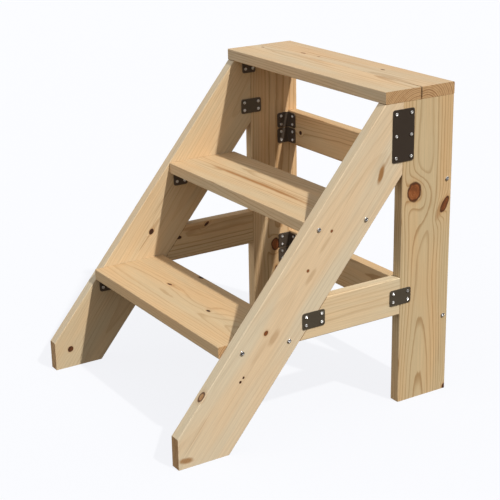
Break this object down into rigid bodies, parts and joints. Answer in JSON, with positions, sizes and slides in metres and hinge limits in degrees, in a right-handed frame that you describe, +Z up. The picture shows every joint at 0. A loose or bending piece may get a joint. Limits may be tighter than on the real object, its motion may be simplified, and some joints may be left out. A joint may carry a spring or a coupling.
{
  "type": "step ladder",
  "caption": "Rigid wooden step ladder: slanted stringers and upright rear legs carry three board treads, joined by screwed steel plates and angle brackets.",
  "frame": {"origin": "centre of the footprint, on the floor", "axes": "+Z up, +Y towards the back of the ladder (the climber faces +Y), +X to the climber's right"},
  "size_m": [0.6696, 0.742, 0.756],
  "materials": {
    "pine": "bare planed softwood, matt",
    "dark_steel": "dark bronze coating, satin",
    "bright_steel": "bright zinc plate"
  },
  "bodies": {
    "root": {"bottom_tread": "pine", "middle_tread": "pine", "top_tread_front_board": "pine", "top_tread_rear_board": "pine", "upper_rear_rail": "pine", "lower_rear_rail": "pine", "left_stringer": "pine", "left_rear_leg": "pine", "left_side_rail": "pine", "right_stringer": "pine", "right_rear_leg": "pine", "right_side_rail": "pine", "left_stringer_to_leg_outer_plate": "dark_steel", "left_stringer_to_rail_plate": "dark_steel", "left_rail_to_leg_plate": "dark_steel", "left_stringer_to_leg_inner_plate": "dark_steel", "left_top_tread_bracket": "dark_steel", "left_middle_tread_bracket": "dark_steel", "left_bottom_tread_bracket": "dark_steel", "left_upper_rear_rail_top_bracket": "dark_steel", "left_upper_rear_rail_bottom_bracket": "dark_steel", "left_lower_rear_rail_top_bracket": "dark_steel", "left_lower_rear_rail_bottom_bracket": "dark_steel", "right_stringer_to_leg_outer_plate": "dark_steel", "right_stringer_to_rail_plate": "dark_steel", "right_rail_to_leg_plate": "dark_steel", "right_stringer_to_leg_inner_plate": "dark_steel", "right_top_tread_bracket": "dark_steel", "right_middle_tread_bracket": "dark_steel", "right_bottom_tread_bracket": "dark_steel", "right_upper_rear_rail_top_bracket": "dark_steel", "right_upper_rear_rail_bottom_bracket": "dark_steel", "right_lower_rear_rail_top_bracket": "dark_steel", "right_lower_rear_rail_bottom_bracket": "dark_steel", "left_middle_tread_front_screw": "bright_steel", "left_middle_tread_rear_screw": "bright_steel", "left_bottom_tread_front_screw": "bright_steel", "left_bottom_tread_rear_screw": "bright_steel", "left_upper_rear_rail_screw": "bright_steel", "left_lower_rear_rail_screw": "bright_steel", "left_plate_screw_top_front": "bright_steel", "left_plate_screw_top_rear": "bright_steel", "left_plate_screw_middle_front": "bright_steel", "left_plate_screw_middle_rear": "bright_steel", "left_plate_screw_bottom_front": "bright_steel", "left_plate_screw_bottom_rear": "bright_steel", "right_middle_tread_front_screw": "bright_steel", "right_middle_tread_rear_screw": "bright_steel", "right_bottom_tread_front_screw": "bright_steel", "right_bottom_tread_rear_screw": "bright_steel", "right_upper_rear_rail_screw": "bright_steel", "right_lower_rear_rail_screw": "bright_steel", "right_plate_screw_top_front": "bright_steel", "right_plate_screw_top_rear": "bright_steel", "right_plate_screw_middle_front": "bright_steel", "right_plate_screw_middle_rear": "bright_steel", "right_plate_screw_bottom_front": "bright_steel", "right_plate_screw_bottom_rear": "bright_steel"}
  },
  "joints": []
}
